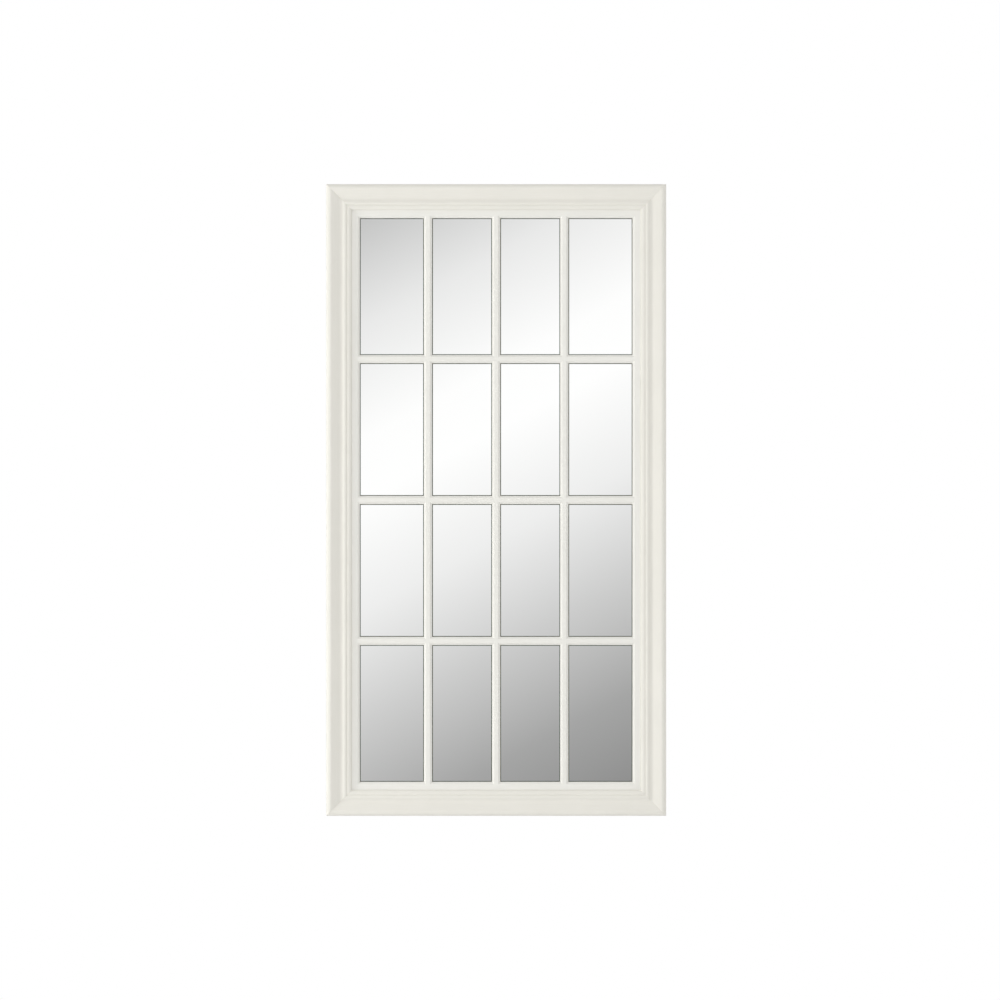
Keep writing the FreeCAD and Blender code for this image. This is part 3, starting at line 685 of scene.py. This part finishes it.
# Head radius, head rise, shank radius and length
BOARD_SCREW = (3.5 * MM, 1.8 * MM, 1.75 * MM, 14.0 * MM)
HANGER_SCREW = (3.7 * MM, 2.2 * MM, 2.0 * MM, 18.0 * MM)
BOARD_RECESS = 2.0 * MM
BOARD_BACK = FRAME_BACK - BOARD_RECESS
SCREW_LINE = MOULDING_WIDTH - REBATE_WIDTH / 2.0
# Board screws stand at these shares of the frame's width and height
RAIL_SHARES = (-0.25, 0.25)
STILE_SHARES = (-0.42, -0.14, 0.14, 0.42)
PIVOT_HEIGHT = 400.0 * MM
HANGER_LINE = 331.0 * MM
STRAP_GAUGE = 1.0 * MM
STRAP_BACK = FRAME_BACK + 2.0 * STRAP_GAUGE
HANGER_HOLES = (27.0 * MM, 42.0 * MM)
ZINC_TONES = (0.42, 0.425, 0.43), (0.62, 0.62, 0.60)
ZINC_GLOSS = 0.38, 0.24

zinc = brushed_metal("zinc_plate", ZINC_TONES, ZINC_GLOSS, scale=600.0)
board_spots = [
    (2.0 * HALF_WIDTH * share, BOARD_BACK, way * (HALF_HEIGHT - SCREW_LINE))
    for way in (-1.0, 1.0) for share in RAIL_SHARES
] + [
    (way * (HALF_WIDTH - SCREW_LINE), BOARD_BACK, 2.0 * HALF_HEIGHT * share)
    for way in (-1.0, 1.0) for share in STILE_SHARES
]
hanger_spots = [
    (way * HANGER_LINE, STRAP_BACK, PIVOT_HEIGHT - hole) for way in (-1.0, 1.0) for hole in HANGER_HOLES
]
screw_set("board_screw_heads", "board_screws", board_spots, BOARD_SCREW)
screw_set("hanger_screw_heads", "hanger_screws", hanger_spots, HANGER_SCREW)


# Strap hangers: a strip of nickel plated steel folded round the leg of the ring and closed on itself.
# Both layers are held flat on the stile by the two screws, and the folded end stands up as an eye.
EYE_RADIUS = 1.55 * MM
STRAP_NECK = 7.0 * MM
STRAP_TAIL = 50.0 * MM
STRAP_HALF_WIDTH = 7.5 * MM
TAIL_CORNER = 5.0 * MM
LAYER_GAP = 0.06 * MM
STRAP_EASE = 0.12 * MM
STRAP_POINTS = 12
EYE_POINTS = 25
NICKEL_TONES = (0.43, 0.41, 0.38), (0.58, 0.555, 0.515)
NICKEL_GLOSS = 0.32, 0.20
ROLLED_UP = (1.0, 1.0, 0.08)

pivot_level = EYE_RADIUS + STRAP_GAUGE
near_layer = STRAP_GAUGE / 2.0
far_layer = STRAP_GAUGE + near_layer
half_layer = (STRAP_GAUGE - LAYER_GAP) / 2.0
tail_turn = np.linspace(0.0, math.pi / 2.0, STRAP_POINTS)
tail_run = -STRAP_TAIL + TAIL_CORNER * (1.0 - np.cos(tail_turn))
neck_share = np.linspace(0.0, 1.0, STRAP_POINTS)[1:]
neck_step = neck_share ** 2 * (3.0 - 2.0 * neck_share)
eye_far = 2.0 * pivot_level - near_layer
strap_path = np.concatenate((
    np.stack((np.full(STRAP_POINTS, near_layer), tail_run), axis=1),
    arc((pivot_level, 0.0), pivot_level - near_layer, 180.0, 0.0, EYE_POINTS),
    np.stack((eye_far + (far_layer - eye_far) * neck_step, -STRAP_NECK * neck_share), axis=1),
    np.stack((np.full(STRAP_POINTS, far_layer), tail_run[::-1]), axis=1),
))
strip_section = eased(np.array((
    (-STRAP_HALF_WIDTH, -half_layer),
    (STRAP_HALF_WIDTH, -half_layer),
    (STRAP_HALF_WIDTH, half_layer),
    (-STRAP_HALF_WIDTH, half_layer),
)), STRAP_EASE)


def folded_strap():
    """The strip's section carried along its folded path, drawn in at both ends to round the tail.

    Place = path + through * normal, with across = section - sign * (half width - half width at that height).
    """
    steps = np.diff(strap_path, axis=0)
    steps = steps / np.linalg.norm(steps, axis=1, keepdims=True)
    ways = np.concatenate((steps[:1], steps[:-1] + steps[1:], steps[-1:]))
    ways = ways / np.linalg.norm(ways, axis=1, keepdims=True)
    normals = np.stack((-ways[:, 1], ways[:, 0]), axis=1)
    across, through = strip_section.T
    below = np.clip(TAIL_CORNER - STRAP_TAIL - strap_path[:, 1], 0.0, TAIL_CORNER)
    drawn_in = TAIL_CORNER - np.sqrt(TAIL_CORNER ** 2 - below ** 2)
    width = across - np.sign(across) * drawn_in[:, None]
    flat = strap_path[:, None] + through[None, :, None] * normals[:, None]
    return width[..., None] * ACROSS - flat[..., :1] * FRONT + flat[..., 1:] * UP


nickel = brushed_metal("nickel_plate", NICKEL_TONES, NICKEL_GLOSS, scale=700.0, stretch=ROLLED_UP)
strap_rows = folded_strap()
for side, way in (("left", -1.0), ("right", 1.0)):
    new_piece(
        f"{side}_strap", strap_rows + np.array((way * HANGER_LINE, FRAME_BACK, PIVOT_HEIGHT)),
        capped_faces(*strap_rows.shape[:2]), (nickel,), "mirror", (f"{side}_hanger",),
    )


# D-rings: nickel plated wire bent to a straight leg, two sides and a round bow, its ends butted in the eye.
# Each swings in its strap's eye, and hangs down just clear of the strap.
RING_RADIUS = 1.5 * MM
RING_HALF_SPAN = 12.0 * MM
RING_REACH = 18.5 * MM
RING_CORNER = 4.0 * MM
# How far the wire's middle stands off the stile at the foot of the hanging ring
RING_REST = 3.8 * MM
CORNER_POINTS = 15
BOW_POINTS = 49
WIRE_POINTS = 24
RING_TONES = (0.52, 0.50, 0.465), (0.60, 0.575, 0.535)
RING_GLOSS = 0.24, 0.14

# Each bend of the wire: centre, radius, start and end of its turn, and points
ring_bends = (
    ((RING_CORNER - RING_HALF_SPAN, -RING_CORNER), RING_CORNER, 90.0, 180.0, CORNER_POINTS),
    ((0.0, RING_HALF_SPAN - RING_REACH), RING_HALF_SPAN, 180.0, 360.0, BOW_POINTS),
    ((RING_HALF_SPAN - RING_CORNER, -RING_CORNER), RING_CORNER, 0.0, 90.0, CORNER_POINTS),
)
ring_path = np.concatenate([arc(*bend) for bend in ring_bends])
outward = np.concatenate([arc((0.0, 0.0), 1.0, *turn) for centre, radius, *turn in ring_bends])
ring_lean = math.asin((RING_REST - pivot_level) / RING_REACH)
ring_up = np.array((0.0, -math.sin(ring_lean), math.cos(ring_lean)))
ring_back = np.array((0.0, math.cos(ring_lean), math.sin(ring_lean)))
wire_angle = np.linspace(0.0, math.tau, WIRE_POINTS, endpoint=False)
wire_out = RING_RADIUS * np.cos(wire_angle)[None, :, None]
wire_back = RING_RADIUS * np.sin(wire_angle)[None, :, None]
# Place = path + radius * (cos * outward + sin * back), in the ring's leaning plane
ring_flat = ring_path[:, None] + wire_out * outward[:, None]
ring_points = ring_flat[..., :1] * ACROSS + ring_flat[..., 1:] * ring_up + wire_back * ring_back
ring_rows = np.concatenate((ring_points, ring_points[:1]))
ring_nickel = brushed_metal("ring_nickel", RING_TONES, RING_GLOSS, scale=900.0)
for side, way in (("left", -1.0), ("right", 1.0)):
    pivot = np.array((way * HANGER_LINE, FRAME_BACK + pivot_level, PIVOT_HEIGHT))
    new_piece(
        f"{side}_ring_wire", ring_rows + pivot, tube_faces(*ring_rows.shape[:2]),
        (ring_nickel,), f"{side}_ring", (f"{side}_ring",),
    )


# Wall bumpers: two round pads of black moulded rubber, stuck to the back of the bottom rail.
# They hold the foot of the frame off the wall and keep it from sliding.
BUMPER_RADIUS = 7.0 * MM
BUMPER_HEIGHT = 6.0 * MM
BUMPER_ROUND = 1.6 * MM
BUMPER_LINE = 290.0 * MM
BUMPER_LEVEL = -631.0 * MM
BUMPER_ROUND_POINTS = 9
BUMPER_ANGLES = 48
RUBBER_TONES = (0.3, (0.018, 0.018, 0.019)), (0.7, (0.036, 0.036, 0.037))


def rubber():
    """Matt black moulded rubber with a fine bloom."""
    material, tree, shader = new_material("black_rubber", Specular_IOR_Level=0.35)
    bloom = object_noise(tree, scale=500.0, detail=4.0, roughness=0.6)
    colour = ramp(tree, bloom, *RUBBER_TONES)
    sheen = ramp(tree, bloom, (0.3, 0.55), (0.7, 0.75))
    link_finish(tree, shader, colour, sheen, bump(tree, bloom, distance=0.1 * MM, strength=0.4))
    return material


round_centre = (BUMPER_RADIUS - BUMPER_ROUND, BUMPER_HEIGHT - BUMPER_ROUND)
rounded = arc(round_centre, BUMPER_ROUND, 0.0, 90.0, BUMPER_ROUND_POINTS)
bumper_outline = np.concatenate(([(0.0, 0.0), (BUMPER_RADIUS, 0.0)], rounded, [(0.0, BUMPER_HEIGHT)]))
round_angle = np.linspace(0.0, math.tau, BUMPER_ANGLES, endpoint=False)
# Outline (radius, height) turned about the pad's middle line: (radius * cos, height, radius * sin)
bumper_grid = np.stack((
    bumper_outline[:, :1] * np.cos(round_angle),
    np.repeat(bumper_outline[:, 1:], BUMPER_ANGLES, axis=1),
    bumper_outline[:, :1] * np.sin(round_angle),
), axis=-1)
bumper_rows = len(bumper_outline)
bumper_points = [bumper_grid + np.array((way * BUMPER_LINE, FRAME_BACK, BUMPER_LEVEL)) for way in (-1.0, 1.0)]
bumper_faces = tube_faces(bumper_rows, BUMPER_ANGLES)
bumper_faces = bumper_faces + tube_faces(bumper_rows, BUMPER_ANGLES, bumper_rows * BUMPER_ANGLES)
new_piece(
    "rubber_bumpers", bumper_points, bumper_faces, (rubber(),), "mirror", ("wall_bumpers",),
)


# Floor: the studio's plain pale floor, well below the hung mirror.
# It keeps the object's shadow, and fades to the white surroundings further out.
FLOOR_LEVEL = -1.3
FLOOR_HALF = 30.0
FLOOR_LINES = 3
FLOOR_TONE = (0.86, 0.86, 0.86, 1.0)
# Distances from the origin between which the floor fades
FLOOR_FADE = 0.25, 0.95


def white_to_eyes(tree):
    """One for rays from the camera and for rays that metal or glass sends on, else nought."""
    path = tree.nodes.new("ShaderNodeLightPath")
    total = path.outputs["Is Camera Ray"]
    for output in ("Is Glossy Ray", "Is Transmission Ray"):
        total = calculated(tree, "MAXIMUM", total, path.outputs[output])
    return total


def staged_sheet(name, points, material):
    """A flat or curved sheet of the studio, from a grid of points."""
    rows, columns = points.shape[:2]
    corner = (np.arange(rows - 1)[:, None] * columns + np.arange(columns - 1)[None]).reshape(-1, 1)
    quads = corner + np.array((0, 1, columns + 1, columns))
    mesh = bpy.data.meshes.new(name)
    mesh.from_pydata(points.reshape(-1, 3).tolist(), [], quads.tolist())
    mesh.materials.append(material)
    mesh.polygons.foreach_set("use_smooth", [True] * len(mesh.polygons))
    sheet = bpy.data.objects.new(name, mesh)
    bpy.context.scene.collection.objects.link(sheet)
    return sheet


def distance_away(tree):
    """How far a place is from the upright line through the origin: the length of (x, y)."""
    place = tree.nodes.new("ShaderNodeTexCoord")
    flat = tree.nodes.new("ShaderNodeVectorMath")
    flat.operation = "MULTIPLY"
    flat.inputs[1].default_value = (1.0, 1.0, 0.0)
    tree.links.new(place.outputs["Object"], flat.inputs[0])
    away = tree.nodes.new("ShaderNodeVectorMath")
    away.operation = "LENGTH"
    tree.links.new(flat.outputs["Vector"], away.inputs[0])
    return away.outputs["Value"]


def pale_floor():
    """Pale matt floor near the object, turning to plain white further out."""
    material, tree, shader = new_material("pale_floor", Roughness=0.9, Specular_IOR_Level=0.1)
    shader.inputs["Base Color"].default_value = FLOOR_TONE
    fade = share_between(tree, distance_away(tree), *FLOOR_FADE, curve="SMOOTHSTEP")
    white = tree.nodes.new("ShaderNodeEmission")
    either = tree.nodes.new("ShaderNodeMixShader")
    tree.links.new(calculated(tree, "MULTIPLY", fade, white_to_eyes(tree)), either.inputs["Fac"])
    tree.links.new(shader.outputs["BSDF"], either.inputs[1])
    tree.links.new(white.outputs["Emission"], either.inputs[2])
    tree.links.new(either.outputs["Shader"], tree.nodes["Material Output"].inputs["Surface"])
    return material


floor_line = np.linspace(-FLOOR_HALF, FLOOR_HALF, FLOOR_LINES)
floor_level = np.full((FLOOR_LINES, FLOOR_LINES), FLOOR_LEVEL)
floor_grid = np.stack((*np.meshgrid(floor_line, floor_line), floor_level), axis=-1)
staged_sheet("studio_floor", floor_grid, pale_floor())


# Studio screen: a tall curved screen behind the camera, carried on along the floor, that only gloss shows.
# Its glow falls off above and below a slanting bright band, which gives the panes their soft gradient.
SCREEN_DISTANCE = 5.0
SCREEN_TOP = 4.8
SCREEN_HALF_ANGLE = 80.0
SCREEN_COLUMNS = 41
SCREEN_SLANT = 0.26
CAMERA_DISTANCE = 4.0
# The glow's ramp runs over this span of positions: 0 is the panes' top left corner, 1 their bottom left
GLOW_SPAN = -0.2, 1.6
GLOW = (
    (0.00, 0.44),
    (0.11, 0.575),
    (0.22, 0.87),
    (0.33, 1.05),
    (0.39, 1.06),
    (0.50, 0.905),
    (0.61, 0.64),
    (0.72, 0.40),
    (0.83, 0.265),
    (1.00, 0.24),
)
# The sheet on the floor brightens towards the mirror, and the screen's top fades to white
SWEEP_NEAR = 0.05
SWEEP_LEVEL = (0.9, 0.9, 0.9, 1.0)
SWEEP_LIFT = 2.0 * MM
FADE_START = 1.8
PLAIN_WHITE = (1.0, 1.0, 1.0, 1.0)


def lit_screen():
    """A glow by height and a little by width, through a ramp.

    Position = (1 + slant) / 2 + slant * x / width - z / height, over the part that the panes show the camera.
    """
    material = bpy.data.materials.new("lit_screen")
    material.use_nodes = True
    tree = material.node_tree
    tree.nodes.remove(tree.nodes["Principled BSDF"])
    place = separated(tree, "Object")
    spread = 1.0 + SCREEN_DISTANCE / CAMERA_DISTANCE
    by_width = SCREEN_SLANT / (2.0 * half_opening_width * spread)
    by_height = -1.0 / (2.0 * half_opening_height * spread)
    slanted = calculated(tree, "MULTIPLY_ADD", place["X"], by_width, (1.0 + SCREEN_SLANT) / 2.0)
    position = calculated(tree, "MULTIPLY_ADD", place["Z"], by_height, slanted)
    glow = ramp(tree, share_between(tree, position, *GLOW_SPAN), *GLOW)
    nearness = share_between(tree, distance_away(tree), SCREEN_DISTANCE, SWEEP_NEAR)
    glow = mixed(tree, nearness, glow, SWEEP_LEVEL)
    glow = mixed(tree, share_between(tree, place["Z"], FADE_START, SCREEN_TOP), glow, PLAIN_WHITE)
    light = tree.nodes.new("ShaderNodeEmission")
    tree.links.new(glow, light.inputs["Color"])
    tree.links.new(light.outputs["Emission"], tree.nodes["Material Output"].inputs["Surface"])
    return material


screen_angle = np.radians(np.linspace(-SCREEN_HALF_ANGLE, SCREEN_HALF_ANGLE, SCREEN_COLUMNS))[None]
screen_foot = FLOOR_LEVEL + SWEEP_LIFT
screen_away = np.array((SWEEP_NEAR, SCREEN_DISTANCE, SCREEN_DISTANCE))[:, None]
screen_height = np.array((screen_foot, screen_foot, SCREEN_TOP))[:, None]
screen_grid = np.stack(np.broadcast_arrays(
    screen_away * np.sin(screen_angle), -screen_away * np.cos(screen_angle), screen_height,
), axis=-1)
screen = staged_sheet("studio_screen", screen_grid, lit_screen())
screen.visible_camera = False
screen.visible_diffuse = False
screen.visible_shadow = False
screen.visible_transmission = False


# Light: even white surroundings, with a broad soft lamp in front and another behind for the two faces.
# A tall narrow lamp to the left rakes over the mouldings, and a weak one on the right lifts that side.
SURROUNDINGS = (0.60, 0.60, 0.60, 1.0)
# Each lamp: its turn from the front to the left in degrees, distance, size and power
LAMPS = {
    "front_lamp": (0.0, 7.0, (4.0, 4.0), 148.0),
    "left_lamp": (75.0, 3.3, (0.5, 2.2), 43.0),
    "right_lamp": (-110.0, 5.0, (1.0, 2.5), 25.0),
    "back_lamp": (180.0, 7.0, (4.0, 4.0), 148.0),
}
UPRIGHT = math.radians(90.0)

world = bpy.data.worlds.new("white_surroundings")
bpy.context.scene.world = world
world.use_nodes = True
sky = world.node_tree
even = sky.nodes["Background"]
even.inputs["Color"].default_value = SURROUNDINGS
plain = sky.nodes.new("ShaderNodeBackground")
plain.inputs["Color"].default_value = PLAIN_WHITE
either = sky.nodes.new("ShaderNodeMixShader")
sky.links.new(white_to_eyes(sky), either.inputs["Fac"])
sky.links.new(even.outputs["Background"], either.inputs[1])
sky.links.new(plain.outputs["Background"], either.inputs[2])
sky.links.new(either.outputs["Shader"], sky.nodes["World Output"].inputs["Surface"])

for name, (turn, distance, spread, power) in LAMPS.items():
    lamp_data = bpy.data.lights.new(name, "AREA")
    lamp_data.shape = "RECTANGLE"
    lamp_data.size, lamp_data.size_y = spread
    lamp_data.energy = power
    lamp = bpy.data.objects.new(name, lamp_data)
    lamp_turn = math.radians(turn)
    lamp.location = (-distance * math.sin(lamp_turn), -distance * math.cos(lamp_turn), 0.0)
    lamp.rotation_euler = (UPRIGHT, 0.0, -lamp_turn)
    lamp.visible_glossy = False
    bpy.context.scene.collection.objects.link(lamp)


# Camera: straight in front of the glass, at the height of the middle and a little to the right of it.
# Its lens is set by how wide the view is at the glass.
VIEW_WIDTH = 2.062
GLASS_FRONT = 18.0 * MM
CAMERA_ASIDE = 7.9 * MM
SENSOR_WIDTH = 36.0

camera_data = bpy.data.cameras.new("camera")
camera_data.sensor_width = SENSOR_WIDTH
camera_data.lens = SENSOR_WIDTH * CAMERA_DISTANCE / VIEW_WIDTH
camera = bpy.data.objects.new("camera", camera_data)
camera.location = (CAMERA_ASIDE, -CAMERA_DISTANCE - GLASS_FRONT, 0.0)
camera.rotation_euler = (UPRIGHT, 0.0, 0.0)
bpy.context.scene.collection.objects.link(camera)
bpy.context.scene.camera = camera
bpy.context.scene.view_settings.view_transform = "Standard"
